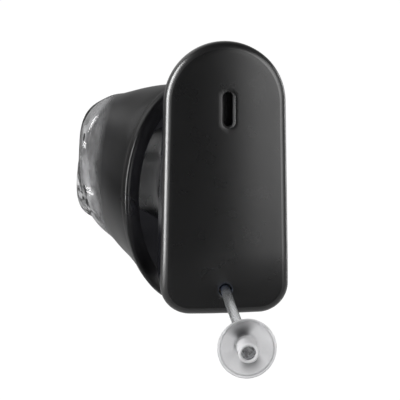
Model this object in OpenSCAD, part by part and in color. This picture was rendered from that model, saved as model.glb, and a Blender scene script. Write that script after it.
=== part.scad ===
// Completely-in-canal hearing aid with a removal line and a push-on silicone sleeve.
// Millimetres. The origin lies on the ear-canal axis, in the mouth of the sleeve.
// +Y runs into the ear, square to the faceplate, +Z runs up the faceplate, and +X is to
// the right of someone who looks at the faceplate.

/* [Faceplate] */
// Height of the faceplate
plate_h = 14.4; // [13.6:0.1:15.4]
// Width of the faceplate near its lower end
plate_w = 6.8; // [6.4:0.1:7.6]
// Radius of the faceplate's round top
plate_top_r = 3.2; // [2.9:0.05:3.3]
// Radius of its two lower corners
plate_corner_r = 1.6; // [1.2:0.05:2.2]
// Thickness of the faceplate at its edge
plate_t = 1; // [0.8:0.05:1.3]
// Rounding of the faceplate's outer edge
plate_edge_r = 0.3; // [0.1:0.05:0.38]
// Distance from the origin out to the faceplate's outer face
plate_front = 5.8; // [5.5:0.1:6.6]
// Distance from the canal axis to the faceplate's middle, to the right
plate_side = 0.95; // [0.7:0.05:1.2]
// Height of the faceplate's middle above the canal axis at the origin
plate_up = 0.15; // [-0.2:0.05:0.4]
// Length of the microphone slot
slot_l = 1.85; // [1.4:0.05:2.2]
// Width of the microphone slot
slot_w = 0.48; // [0.3:0.02:0.6]
// Width of the bevel round the slot
slot_bevel = 0.12; // [0.05:0.01:0.18]
// Distance of the slot's middle below the top of the faceplate
slot_down = 3.55; // [3.3:0.05:3.7]

/* [Housing] */
// Wall of the housing shell
shell_wall = 0.45; // [0.35:0.05:0.6]
// How far the faceplate stands proud of the shell all round
plate_overhang = 0.08; // [0.04:0.01:0.15]
// Sideways turn of the canal axis from the faceplate's inward normal, in degrees
canal_yaw = 43; // [39:1:46]
// Downward tilt of the canal axis, in degrees
canal_dip = 8; // [4:1:10]
// Distance from the origin along the canal axis to the snout's shoulder
snout_from = 5.9; // [5.7:0.1:6.4]
// Length of the snout beyond its shoulder
snout_l = 1.9; // [1.7:0.1:2.4]
// Height of the snout
snout_h = 3.4; // [3.3:0.05:3.8]
// Width of the snout
snout_w = 2.6; // [2.5:0.05:2.9]
// Corner radius of the snout
snout_corner_r = 0.8; // [0.5:0.05:1]
// Step from the snout out to its shoulder
shoulder_step = 0.25; // [0.15:0.05:0.35]
// Thickness of the snout's end wall, which holds the wax guard
snout_end_t = 0.75; // [0.65:0.05:0.9]

/* [Sleeve] */
// Length of the sleeve from the origin to its nose
sleeve_l = 8.45; // [8.3:0.05:9.2]
// Height of the sleeve across its open rim
sleeve_h = 12.8; // [12.4:0.1:14]
// Thickness of the sleeve's rolled rim
rim_t = 0.95; // [0.8:0.05:1.1]
// Rounding of the rim's outer edge
rim_r = 0.22; // [0.15:0.01:0.3]
// Thickness of the sleeve's skirt
skirt_t = 0.6; // [0.45:0.05:0.75]
// Diameter of the sound opening in the sleeve's nose
nose_d = 1.9; // [1.75:0.05:2.1]
// Clearance between the sleeve and the snout
sleeve_fit = 0.03; // [0.02:0.01:0.05]

/* [Wax guard] */
// Diameter of the wax guard's barrel
guard_d = 1.06; // [0.96:0.02:1.14]
// Diameter of the wax guard's flange
guard_flange_d = 1.44; // [1.34:0.02:1.52]
// Thickness of the flange
guard_flange_t = 0.18; // [0.12:0.02:0.22]
// Diameter of the hole through the wax guard
guard_bore_d = 0.7; // [0.6:0.02:0.74]
// Running clearance round the wax guard
guard_fit = 0.03; // [0.02:0.01:0.05]

/* [Removal line] */
// Diameter of the nylon line
line_d = 0.52; // [0.44:0.02:0.56]
// Length of the line from the faceplate to the root of its knob
line_l = 8.2; // [6:0.1:11]
// Droop of the line where it leaves the faceplate, in degrees
line_droop = 8; // [0:1:12]
// How far the line bends back up beyond its neck, in degrees
line_bend = 3; // [0:1:8]
// Height of the line's hole above the lower end of the faceplate
line_up = 1.35; // [1.2:0.05:1.6]
// Diameter of the knob's dish across its mouth
knob_d = 2.75; // [2.2:0.05:3.2]
// Depth of the dish
knob_l = 0.7; // [0.55:0.05:0.9]
// Wall of the dish
knob_wall = 0.16; // [0.12:0.01:0.2]
// Diameter of the hub that grips the line
hub_d = 0.92; // [0.84:0.02:1.1]
// How far the hub stands out of the dish's mouth
hub_reach = 1.25; // [0.8:0.05:1.6]

/* [Electronics] */
// Diameter of the rechargeable cell
cell_d = 3; // [2.8:0.05:3.05]
// Height of the cell's lower end above the faceplate's lower end
cell_up = 2.25; // [2.1:0.05:2.7]
// Length of the receiver
receiver_l = 4.6; // [4:0.1:4.8]
// Height of the receiver
receiver_h = 2.3; // [2.1:0.05:2.35]
// Width of the receiver
receiver_w = 1.5; // [1.3:0.05:1.5]
// Length of the microphone
mic_l = 2.4; // [2.2:0.05:2.5]
// Width of the microphone
mic_w = 1.7; // [1.5:0.05:1.8]
// Thickness of the microphone
mic_t = 0.8; // [0.6:0.05:0.9]
// How much shorter the circuit board is than the cell
board_short = 1.2; // [0.9:0.1:1.8]
// Depth of the circuit board
board_d = 2; // [1.8:0.05:2.1]
// Thickness of the circuit board
board_t = 0.25; // [0.2:0.05:0.3]
// Width of the charging coil as a share of the faceplate's width
coil_share = 0.588; // [0.52:0.004:0.6]
// Thickness of the charging coil
coil_t = 0.25; // [0.2:0.05:0.3]

/* [Hidden] */
$fn = 48;

// One overrun for every cut, and the gap left between parts that only lie close
over = 0.05 * plate_t;
gap = 0.05;

// Faceplate: its outline is the tight band round three circles, each [x, y, radius]
plate_circles = [
    [0, plate_h / 2 - plate_top_r, plate_top_r],
    [-(plate_w / 2 - plate_corner_r), -(plate_h / 2 - plate_corner_r), plate_corner_r],
    [plate_w / 2 - plate_corner_r, -(plate_h / 2 - plate_corner_r), plate_corner_r]];
slot_side = 0.15;
slot_up = plate_h / 2 - slot_down;
line_below = plate_h / 2 - line_up;
slot_bevel_depth = 1.6 * slot_bevel;
line_hole_d = line_d + 0.12;
line_hole_bevel = 0.08;
spigot_h = 0.6;
spigot_t = 0.3;
seal_t = 0.14;
seal_h = 0.3;
spigot_inset = plate_overhang + shell_wall + gap + seal_t + gap;

// Housing: a loft along a curve from the faceplate to the snout's shoulder
shell_lead_in = 3;
shell_lead_out = 5.5;
shell_sag = 0.6;
shell_lean = 11;
shoulder_h = snout_h + 2 * shoulder_step;
shoulder_w = snout_w + 2 * shoulder_step;
shell_rim_y = plate_t - plate_front;
// Each row: place along the curve, turn, lean, height, width, roundness, all as shares
shell_ring_shares = [
    [0, 0, 0, 1, 1, 0],
    [0.08, 0.02, 0.02, 0.995, 0.995, 0],
    [0.17, 0.15, 0.25, 0.965, 0.985, 0.05],
    [0.27, 0.42, 0.6, 0.88, 0.95, 0.2],
    [0.37, 0.72, 0.9, 0.7, 0.87, 0.5],
    [0.46, 0.92, 1, 0.5, 0.74, 0.85],
    [0.56, 1, 0.75, 0.33, 0.55, 1],
    [0.68, 1, 0.35, 0.2, 0.35, 1],
    [0.8, 1, 0.1, 0.1, 0.18, 1],
    [0.9, 1, 0, 0.03, 0.06, 1],
    [1, 1, 0, 0, 0, 1]];
shell_steps = 2;
side_steps = 6;
arc_steps = 12;
corner_steps = 4;
plate_fine = 3;
edge_steps = 6;

// Snout and click groove
snout_wall = 0.3;
snout_nose_r = 2.2;
groove_from = 0.42;
groove_w = 0.3;
groove_depth = 0.12;
guard_seat_d = guard_flange_d + 2 * guard_fit;
guard_hole_d = guard_d + 2 * guard_fit;

// Sleeve: each ring runs from a crown point to a sole point, each [along, above the axis],
// as shares of the sleeve's length and of its height
sleeve_crown_shares = [[0, 0.369], [0.107, 0.377], [0.272, 0.375], [0.497, 0.362],
    [0.686, 0.336], [0.828, 0.289], [0.923, 0.23], [0.982, 0.172], [1, 0.117]];
sleeve_sole_shares = [[0.175, -0.586], [0.272, -0.527], [0.414, -0.441], [0.592, -0.352],
    [0.757, -0.27], [0.864, -0.219], [0.941, -0.18], [0.988, -0.145], [1, -0.109]];
// Width of each ring as a share of its height, and how square it is, 2 for an ellipse
sleeve_width_shares = [[0.85, 2], [0.85, 2], [0.84, 2], [0.81, 2.05], [0.765, 2.15], [0.71, 2.3],
    [0.67, 2.4], [0.69, 2.4], [0.84, 2.2]];
sleeve_steps = 2;
sleeve_sides = 48;
sleeve_floor = snout_from + 0.1;
sleeve_floor_share = 0.56;
groove_mid = snout_from + groove_from + groove_w / 2;
click_ring_t = 0.22;
click_lip = groove_depth - 0.04;
ring_seat_w = snout_w + 2 * (sleeve_fit + click_ring_t);
ring_seat_h = snout_h + 2 * (sleeve_fit + click_ring_t);
ring_seat_r = snout_corner_r + sleeve_fit + click_ring_t;

// Removal line and knob
line_side = 0;
neck_l = 1.7;
hinge_gap = 0.06;
ferrule_d = 1.1;
ferrule_l = 0.5;
hub_tail = 0.35;
hub_wall_gap = 0.02;
line_end_sink = 0.12;
dish_root_d = hub_d + 0.1;
dish_bow = 0.75;

// Inner parts: depths are distances behind the faceplate's outer face, heights are from its middle
boot_lip = 0.35;
coil_depth = plate_t + gap;
coil_above_line = 0.65;
coil_below_slot = 0.825;
coil_low = ferrule_d / 2 + coil_above_line - line_below;
coil_high = slot_up - slot_l / 2 - boot_lip - coil_below_slot;
coil_l = coil_high - coil_low;
coil_mid = (coil_low + coil_high) / 2;
coil_w = coil_share * plate_w;
coil_track = 0.225 * coil_w;
coil_r = coil_w / 3;
ferrite_t = 0.12;
ferrite_depth = coil_depth + coil_t + gap / 2;
cradle_t = 0.15;
cradle_reach = 0.4 * cell_d;
cradle_up = 0.8;
cell_depth = ferrite_depth + ferrite_t + gap + cradle_t + gap + cell_d / 2;
cell_shift = 0.65;
cell_side = plate_w / 4 + cell_shift - cell_d / 2;
cell_edge_r = 0.25;
cell_below_mic = 0.28;
pole_d = 0.8;
pole_h = 0.12;
cell_high = slot_up - mic_l / 2 - cell_below_mic - pole_h;
cell_low = cell_up - plate_h / 2;
cell_l = cell_high - cell_low;
cell_mid = (cell_high + cell_low) / 2;
cradle_l = 0.57 * cell_l;
tab_w = 0.7;
tab_t = 0.08;
board_side = cell_side - cell_d / 2 - gap - cradle_t - gap - board_t / 2;
board_above_cell = 0.4;
board_mid = cell_mid + board_above_cell;
board_l = cell_l - board_short;
board_depth = cell_depth;
chip_t = 0.5;
signal_chip_size = [chip_t, 0.4 * board_l, 0.75 * board_d];
power_chip_size = [0.8 * chip_t, 0.22 * board_l, 0.6 * board_d];
cap_size = [0.25, 0.22, 0.4];
cap_count = 4;
screen_t = 0.06;
boot_t = 0.4;
spout_d = 0.84;
spout_wall = 0.1;
spout_l = 0.7;
receiver_r = 0.18;
receiver_end = snout_from + snout_l - snout_end_t - spout_l;
boot_skirt = 0.38;
bumper_t = 0.35;
lead_d = 0.12;
lead_gap = 0.5;
guard_l = snout_end_t - gap;
guard_mesh_t = 0.06;
guard_slack = gap / 5;
seal_ring_back = 0.65 * guard_l;
seal_ring_w = 0.14;
seal_ring_t = 0.08;

// Turns the plate's own plane, x to the right and y up, so that z comes out of the ear
module on_plate() {
    translate([plate_side, -plate_front, plate_up]) rotate([90, 0, 0]) children();
}

// Turns z to run along the canal axis into the ear, with y up
module on_canal() {
    rotate([0, 0, canal_yaw]) rotate([-canal_dip, 0, 0]) rotate([90, 0, 180]) children();
}

// Direction of the outward normal of the side that joins two circles of an outline
function side_angle(a, b) =
    atan2(b.y - a.y, b.x - a.x) - acos((a.z - b.z) / norm([b.x - a.x, b.y - a.y]));
function shrunk(circles, by) = [for (c = circles) [c.x, c.y, c.z - by]];
function on_circle(c, angle) = [c.x + c.z * cos(angle), c.y + c.z * sin(angle)];

// Plate in the shape of the faceplate's outline, with its upper edge rounded
module rounded_plate(thick, r) {
    turns = [for (k = [0:edge_steps]) 90 - 90 * k / edge_steps];
    capped_skin(concat([for (a = turns) level_ring(r - r * cos(a), r * sin(a) - r)],
        [level_ring(0, -thick)]));
}
function level_ring(margin, z) = [for (p = plate_ring(margin, plate_fine)) [p.x, p.y, z]];
module plate_area(margin) polygon(plate_ring(margin, plate_fine));

// Slot with round ends
module slot_area(l, w) {
    for (s = [-1, 1]) translate([0, s * (l - w) / 2]) circle(w / 2);
    square([w, l - w], center = true);
}

// Bevel round a slot's mouth, cut down from the face
module slot_bevel_cut(l, w, bevel, depth) {
    for (s = [-1, 1]) translate([0, s * (l - w) / 2, -depth])
        cylinder(h = depth, r1 = w / 2, r2 = w / 2 + bevel);
    rotate([90, 0, 0]) linear_extrude(l - w, center = true)
        polygon([[-w / 2, -depth], [w / 2, -depth], [w / 2 + bevel, 0], [-w / 2 - bevel, 0]]);
}

// Rectangle with round corners
module round_rect(w, h, r) {
    square([w - 2 * r, h], center = true);
    square([w, h - 2 * r], center = true);
    for (i = [-1, 1], j = [-1, 1])
        translate([i * (w / 2 - r), j * (h / 2 - r)]) circle(r);
}

// Smooth curve through a list of rows, taken in steps between the rows
function blend(a, b, c, d, u) = 0.5 * (2 * b + (c - a) * u
    + (2 * a - 5 * b + 4 * c - d) * u * u + (3 * b - a - 3 * c + d) * u * u * u);
function smooth_rows(rows, steps) = let (n = len(rows)) concat(
    [for (i = [0:n - 2], k = [0:steps - 1])
        blend(rows[max(i - 1, 0)], rows[i], rows[i + 1], rows[min(i + 2, n - 1)], k / steps)],
    [rows[n - 1]]);

// Skin over rings of equal count whose last ring joins the first, so the solid is a tube
module tube_skin(rings) {
    m = len(rings);
    n = len(rings[0]);
    polyhedron(points = [for (ring = rings, p = ring) p],
        faces = [for (i = [0:m - 1], j = [0:n - 1], half = [0, 1])
            let (a = i * n + j, b = i * n + (j + 1) % n,
                c = ((i + 1) % m) * n + (j + 1) % n, d = ((i + 1) % m) * n + j)
            half == 0 ? [a, b, c] : [a, c, d]]);
}

// Skin over rings of equal count, closed by a flat face at each end
module capped_skin(rings) {
    m = len(rings);
    n = len(rings[0]);
    polyhedron(points = [for (ring = rings, p = ring) p], faces = concat(
        [[for (j = [n - 1:-1:0]) j]],
        [for (i = [0:m - 2], j = [0:n - 1], half = [0, 1])
            let (a = i * n + j, b = i * n + (j + 1) % n, c = b + n, d = a + n)
            half == 0 ? [a, b, c] : [a, c, d]],
        [[for (j = [0:n - 1]) (m - 1) * n + j]]));
}

// Points round the faceplate's outline, drawn in by a margin, in step with one another
function plate_ring(margin, fine = 1) = let (c = shrunk(plate_circles, margin), n = 3) [
    for (i = [0:n - 1])
        let (before = side_angle(c[(i + n - 1) % n], c[i]), after = side_angle(c[i], c[(i + 1) % n]),
            turn = (after - before + 720) % 360, count = fine * (i == 0 ? arc_steps : corner_steps),
            a = on_circle(c[i], after), b = on_circle(c[(i + 1) % n], after),
            side = fine > 1 ? 1 : i == 1 ? corner_steps : side_steps)
        each concat([for (k = [0:count - 1]) on_circle(c[i], before + turn * k / count)],
            [for (k = [0:side - 1]) a + (b - a) * k / side])];

// Housing shell: one ring of its loft, drawn in by a margin
function canal_dir() = [-sin(canal_yaw) * cos(canal_dip), cos(canal_yaw) * cos(canal_dip),
    -sin(canal_dip)];
function curve_at(u) = let (p0 = [plate_side, shell_rim_y, plate_up],
        p3 = canal_dir() * snout_from, p1 = p0 + [0, shell_lead_in, 0],
        p2 = p3 - canal_dir() * shell_lead_out - [0, 0, shell_sag])
    pow(1 - u, 3) * p0 + 3 * u * pow(1 - u, 2) * p1 + 3 * u * u * (1 - u) * p2 + pow(u, 3) * p3;
function shell_ring(row, margin) =
    let (c = curve_at(row[0]), yaw = canal_yaw * row[1],
        pitch = shell_lean * row[2] - canal_dip * (1 - row[4]) * row[1],
        w = shoulder_w + (plate_w - shoulder_w) * row[4],
        h = shoulder_h + (plate_h - shoulder_h) * row[3],
        edge = plate_ring(plate_overhang), inside = plate_ring(plate_overhang + margin))
    [for (i = [0:len(edge) - 1])
        let (angle = atan2(edge[i].y / plate_h, edge[i].x / plate_w),
            oval = [(w / 2 - margin) * cos(angle), (h / 2 - margin) * sin(angle)],
            full = [inside[i].x * w / plate_w, inside[i].y * h / plate_h],
            r = full + (oval - full) * row[5])
        c + r.x * [cos(yaw), sin(yaw), 0]
          + r.y * [sin(yaw) * sin(pitch), -cos(yaw) * sin(pitch), cos(pitch)]];

module shell_skin() {
    rows = smooth_rows(shell_ring_shares, shell_steps);
    last = len(rows) - 1;
    tube_skin(concat([for (k = [0:last]) shell_ring(rows[k], 0)],
        [for (k = [last:-1:0]) shell_ring(rows[k], shell_wall)]));
}

module faceplate() color([0.1, 0.1, 0.105]) on_plate() difference() {
    union() {
        rounded_plate(plate_t, plate_edge_r);
        translate([0, 0, -plate_t - spigot_h]) linear_extrude(spigot_h + over) difference() {
            plate_area(spigot_inset);
            plate_area(spigot_inset + spigot_t);
        }
    }
    translate([line_side, -line_below, -plate_t - spigot_h - over])
        cylinder(h = spigot_h + over, d = ferrule_d + 2 * gap);
    translate([slot_side, slot_up, -plate_t - over]) linear_extrude(plate_t + 2 * over)
        slot_area(slot_l, slot_w);
    translate([slot_side, slot_up, 0])
        slot_bevel_cut(slot_l, slot_w, slot_bevel, slot_bevel_depth);
    translate([line_side, -line_below, -plate_t - over])
        cylinder(h = plate_t + 2 * over, d = line_hole_d);
    translate([line_side, -line_below, -line_hole_bevel])
        cylinder(h = line_hole_bevel, d1 = line_hole_d, d2 = line_hole_d + 2 * line_hole_bevel);
}

module snout() {
    difference() {
        intersection() {
            translate([0, 0, snout_from - shell_wall]) linear_extrude(snout_l + shell_wall)
                round_rect(snout_w, snout_h, snout_corner_r);
            translate([0, 0, snout_from + snout_l - snout_nose_r]) union() {
                sphere(snout_nose_r);
                mirror([0, 0, 1]) cylinder(h = snout_l + shell_wall, r = snout_nose_r);
            }
        }
        translate([0, 0, snout_from - shell_wall - over])
            linear_extrude(snout_l + shell_wall - snout_end_t + over)
            round_rect(snout_w - 2 * snout_wall, snout_h - 2 * snout_wall, snout_corner_r - snout_wall);
        translate([0, 0, snout_from]) cylinder(h = snout_l + over, d = guard_hole_d);
        translate([0, 0, snout_from + snout_l - guard_flange_t - gap])
            cylinder(h = guard_flange_t + gap + over, d = guard_seat_d);
        translate([0, 0, snout_from + groove_from]) linear_extrude(groove_w) difference() {
            round_rect(snout_w + 2 * over, snout_h + 2 * over, snout_corner_r + over);
            round_rect(snout_w - 2 * groove_depth, snout_h - 2 * groove_depth,
                snout_corner_r - groove_depth);
        }
    }
}

module housing_shell() color([0.07, 0.07, 0.08]) {
    shell_skin();
    on_canal() snout();
}

// Sleeve: one ring, from a crown point to a sole point, drawn in by a margin and moved along
function sleeve_ring(row, margin, along) =
    let (crown = [row[0] * sleeve_l, row[1] * sleeve_h], sole = [row[2] * sleeve_l, row[3] * sleeve_h],
        c = (crown + sole) / 2, up = (crown - sole) / norm(crown - sole),
        half = norm(crown - sole) / 2, wide = half * row[4], power = 2 / row[5])
    [for (k = [0:sleeve_sides - 1])
        let (angle = -360 * k / sleeve_sides, x = (wide - margin) * bulge(cos(angle), power),
            y = (half - margin) * bulge(sin(angle), power))
        [x, c.y + y * up.y - along * up.x, c.x + y * up.x + along * up.y]];
function bulge(value, power) = sign(value) * pow(abs(value), power);

function nose_ring(r, z) = [for (k = [0:sleeve_sides - 1])
    [r * cos(-360 * k / sleeve_sides), r * sin(-360 * k / sleeve_sides), z]];

// Ring with the outline of the snout, in step with the rings of the sleeve
function seat_ring(w, h, r, z) = [for (k = [0:sleeve_sides - 1])
    let (share = sleeve_sides / 4, q = floor(k / share),
        angle = -90 * (q + (k - q * share) / (share - 1)),
        sx = q == 0 || q == 3 ? 1 : -1, sy = q < 2 ? -1 : 1)
    [sx * (w / 2 - r) + r * cos(angle), sy * (h / 2 - r) + r * sin(angle), z]];
function snug_ring(z) = seat_ring(snout_w + 2 * sleeve_fit, snout_h + 2 * sleeve_fit,
    snout_corner_r + sleeve_fit, z);
function click_ring_seat(z) = seat_ring(ring_seat_w, ring_seat_h, ring_seat_r, z);

module click_sleeve() color([0.2, 0.2, 0.21, 0.8]) on_canal() {
    rows = smooth_rows([for (k = [0:len(sleeve_crown_shares) - 1])
        concat(sleeve_crown_shares[k], sleeve_sole_shares[k], sleeve_width_shares[k])],
        sleeve_steps);
    last = len(rows) - 1;
    inner_last = round(last * sleeve_floor_share);
    seat_end = snout_from + snout_l + gap;
    tube_skin(concat(
        [for (a = [0:30:90]) sleeve_ring(rows[0], rim_r * (1 - sin(a)), -rim_r * cos(a))],
        [for (k = [1:last]) sleeve_ring(rows[k], 0, 0)],
        [nose_ring(nose_d / 2, sleeve_l), nose_ring(nose_d / 2, seat_end), snug_ring(seat_end)],
        [snug_ring(groove_mid + groove_w / 2), click_ring_seat(groove_mid + groove_w / 2)],
        [click_ring_seat(groove_mid - groove_w / 2), snug_ring(groove_mid - groove_w / 2)],
        [snug_ring(sleeve_floor)],
        [for (k = [inner_last:-1:1]) sleeve_ring(rows[k],
            skirt_t + (rim_t - skirt_t) * pow(1 - k / inner_last, 3), 0)],
        [sleeve_ring(rows[0], rim_t, 0), sleeve_ring(rows[0], rim_t - rim_r / 4, -rim_r)]));
}

module sleeve_click_ring() color([0.5, 0.5, 0.52]) on_canal()
    translate([0, 0, snout_from + groove_from + gap]) linear_extrude(groove_w - 2 * gap)
    difference() {
        round_rect(ring_seat_w - gap / 2, ring_seat_h - gap / 2, ring_seat_r - gap / 4);
        round_rect(snout_w - 2 * click_lip, snout_h - 2 * click_lip, snout_corner_r - click_lip);
    }

module plate_seal() color([0.35, 0.37, 0.38]) on_plate()
    translate([0, 0, -plate_t - seal_h]) linear_extrude(seal_h) difference() {
        plate_area(plate_overhang + shell_wall + gap);
        plate_area(plate_overhang + shell_wall + gap + seal_t);
    }

module mic_screen() color([0.55, 0.56, 0.58]) on_plate()
    translate([slot_side, slot_up, -plate_t - screen_t]) linear_extrude(screen_t)
    slot_area(slot_l + boot_lip, slot_w + boot_lip);

module mic_boot() color([0.2, 0.2, 0.22]) on_plate()
    translate([slot_side, slot_up, -plate_t - screen_t - boot_t]) linear_extrude(boot_t)
    difference() {
        slot_area(slot_l + 2 * boot_lip, slot_w + 2 * boot_lip);
        slot_area(slot_l, slot_w);
    }

module microphone() color([0.75, 0.72, 0.6]) on_plate()
    translate([slot_side, slot_up, -plate_t - screen_t - boot_t - mic_t]) difference() {
        linear_extrude(mic_t) round_rect(mic_w, mic_l, receiver_r);
        translate([0, 0, mic_t / 2]) cylinder(h = mic_t, d = slot_w);
    }

module charging_coil() color([0.72, 0.42, 0.2]) on_plate()
    translate([0, coil_mid, -coil_depth - coil_t]) linear_extrude(coil_t) difference() {
        round_rect(coil_w, coil_l, coil_r);
        round_rect(coil_w - 2 * coil_track, coil_l - 2 * coil_track, coil_r - coil_track / 2);
    }

module ferrite_sheet() color([0.16, 0.16, 0.17]) on_plate()
    translate([0, coil_mid, -ferrite_depth - ferrite_t]) linear_extrude(ferrite_t)
    round_rect(coil_w, coil_l, coil_r);

module chassis() color([0.82, 0.82, 0.8]) on_plate() {
    translate([cell_side, cell_mid + cradle_up, -cell_depth]) rotate([90, 0, 0])
        linear_extrude(cradle_l, center = true) difference() {
            circle(cell_d / 2 + gap + cradle_t);
            circle(cell_d / 2 + gap);
            translate([-cell_d, -cell_d - cell_d / 4]) square([2 * cell_d, cell_d]);
            translate([cradle_reach, -cell_d]) square([cell_d, 2 * cell_d]);
        }
    translate([board_side + board_t / 2 + gap, cell_mid + cradle_up - cradle_l / 2,
        -board_depth - board_d / 2]) cube([cradle_t, cradle_l, board_d]);
}

module battery_cell() color([0.76, 0.77, 0.78]) on_plate()
    translate([cell_side, cell_mid, -cell_depth]) rotate([90, 0, 0])
    translate([0, 0, -cell_l / 2]) rotate_extrude() {
        edge = cell_d / 2 - cell_edge_r;
        turns = [for (k = [0:edge_steps]) 90 * k / edge_steps];
        polygon(concat([[0, 0]],
            [for (a = turns) [edge + cell_edge_r * sin(a), cell_edge_r - cell_edge_r * cos(a)]],
            [for (a = turns) [edge + cell_edge_r * cos(a), cell_l - cell_edge_r + cell_edge_r * sin(a)]],
            [[pole_d / 2, cell_l], [pole_d / 2, cell_l + pole_h], [0, cell_l + pole_h]]));
    }

module battery_tabs() color([0.8, 0.78, 0.7]) on_plate() {
    reach = cell_side - board_side - board_t / 2 - gap;
    for (s = [-1, 1]) {
        z = s > 0 ? 0 : pole_h;
        translate([cell_side - reach, cell_mid + s * (cell_l / 2 + z) - (s > 0 ? 0 : tab_t),
            -cell_depth - tab_w / 2]) cube([reach + pole_d / 2, tab_t, tab_w]);
    }
}

module circuit_board() color([0.1, 0.3, 0.2]) on_plate()
    translate([board_side, board_mid, -board_depth])
    cube([board_t, board_l, board_d], center = true);

module on_board(up) {
    on_plate() translate([board_side - board_t / 2, board_mid + up, -board_depth]) children();
}

module signal_chip() color([0.12, 0.12, 0.13]) on_board(board_l / 12)
    translate([-signal_chip_size.x / 2, 0, 0]) cube(signal_chip_size, center = true);

module power_chip() color([0.14, 0.14, 0.15]) on_board(-board_l / 4)
    translate([-power_chip_size.x / 2, 0, 0]) cube(power_chip_size, center = true);

module board_capacitors() color([0.7, 0.6, 0.45])
    for (k = [0:cap_count - 1]) on_board(-board_l / 2 + cap_size.y * 1.5)
        translate([-cap_size.x, -cap_size.y / 2,
            (k + 1 / 2) * board_d / cap_count - board_d / 2 - cap_size.z / 2]) cube(cap_size);

module receiver_can() color([0.8, 0.8, 0.82]) on_canal()
    translate([0, 0, receiver_end - receiver_l]) linear_extrude(receiver_l)
    round_rect(receiver_w, receiver_h, receiver_r);

module receiver_spout() color([0.7, 0.7, 0.72]) on_canal()
    translate([0, 0, receiver_end]) difference() {
        cylinder(h = spout_l - gap, d = spout_d);
        translate([0, 0, -over]) cylinder(h = spout_l, d = spout_d - 2 * spout_wall);
    }

module receiver_boot() color([0.3, 0.3, 0.32]) on_canal() difference() {
    translate([0, 0, receiver_end - boot_skirt]) linear_extrude(boot_skirt + spout_l - gap)
        round_rect(snout_w - 2 * snout_wall - gap, snout_h - 2 * snout_wall - gap,
            snout_corner_r - snout_wall);
    translate([0, 0, receiver_end - boot_skirt - over]) linear_extrude(boot_skirt + over)
        round_rect(receiver_w + gap, receiver_h + gap, receiver_r);
    translate([0, 0, receiver_end - over]) cylinder(h = spout_l + over, d = spout_d + gap / 2);
}

module receiver_bumper() color([0.3, 0.3, 0.32]) on_canal()
    translate([0, 0, receiver_end - receiver_l - bumper_t]) linear_extrude(bumper_t) difference() {
        round_rect(receiver_w, receiver_h, receiver_r);
        slot_area(lead_gap + 5 * lead_d, 4 * lead_d);
    }

module wax_guard() color([0.9, 0.9, 0.88]) on_canal()
    translate([0, 0, snout_from + snout_l]) difference() {
        union() {
            translate([0, 0, -guard_flange_t]) cylinder(h = guard_flange_t, d = guard_flange_d);
            translate([0, 0, -guard_l]) cylinder(h = guard_l, d = guard_d);
        }
        translate([0, 0, -guard_l - over]) cylinder(h = guard_l + 2 * over, d = guard_bore_d);
        translate([0, 0, -seal_ring_back]) rotate_extrude()
            translate([guard_d / 2 - seal_ring_t, 0]) square([seal_ring_t + over, seal_ring_w]);
    }

module wax_guard_mesh() color([0.6, 0.6, 0.62]) on_canal()
    translate([0, 0, snout_from + snout_l - guard_l])
    cylinder(h = guard_mesh_t, d = guard_bore_d - guard_slack);

module wax_guard_seal() color([0.2, 0.5, 0.75]) on_canal()
    translate([0, 0, snout_from + snout_l - seal_ring_back + guard_slack]) rotate_extrude()
    translate([guard_d / 2 - seal_ring_t + guard_slack, 0])
    square([seal_ring_t + guard_fit / 3, seal_ring_w - 2 * guard_slack]);

// Line: its own place at the hole's mouth, with z along the line
module on_line() {
    on_plate() translate([line_side, -line_below, 0]) rotate([line_droop, 0, 0]) children();
}

module on_line_end() {
    on_line() translate([0, 0, neck_l]) rotate([-line_bend, 0, 0]) children();
}

module on_knob() {
    on_line_end() translate([0, 0, line_l - neck_l]) children();
}

module line_ferrule() color([0.7, 0.7, 0.72]) on_plate()
    translate([line_side, -line_below, -plate_t - ferrule_l]) difference() {
        cylinder(h = ferrule_l, d = ferrule_d);
        translate([0, 0, -over]) cylinder(h = ferrule_l + 2 * over, d = line_d + gap / 2);
    }

module pull_line_root() color([0.75, 0.76, 0.78]) on_plate()
    translate([line_side, -line_below, -plate_t - ferrule_l])
    cylinder(h = plate_t + ferrule_l - 3 * hinge_gap, d = line_d);

module pull_line_neck() color([0.75, 0.76, 0.78]) on_line()
    translate([0, 0, hinge_gap]) cylinder(h = neck_l - 2 * hinge_gap, d = line_d);

module pull_line() color([0.75, 0.76, 0.78]) on_line_end() translate([0, 0, hinge_gap])
    cylinder(h = line_l - neck_l - hinge_gap + knob_l + hub_reach - line_end_sink, d = line_d);

// Knob: half of its section, from the hub's bore out to the lip of the dish
module knob_section() {
    inner = line_d / 2 + hub_wall_gap;
    lip = knob_wall / 2;
    steps = 10;
    root = dish_root_d / 2;
    rise = knob_d / 2 - lip - root;
    dish = [for (k = [0:steps])
        [root + rise * k / steps, (knob_l - lip) * pow(k / steps, 1 / dish_bow)]];
    back = [for (k = [steps:-1:1]) dish[k] + [lip / 2, knob_wall]];
    polygon(concat(dish, back, [[root, knob_wall]]));
    translate([knob_d / 2 - lip, knob_l - lip + lip / 2]) circle(lip);
    translate([inner, -hub_tail]) square([hub_d / 2 - inner, hub_tail + knob_l + hub_reach]);
    translate([hub_d / 2 - lip, 0]) square([dish_root_d / 2 - hub_d / 2 + 2 * lip, knob_wall]);
}

module pull_knob() color([0.8, 0.8, 0.8, 0.8]) on_knob() rotate_extrude() knob_section();

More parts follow.
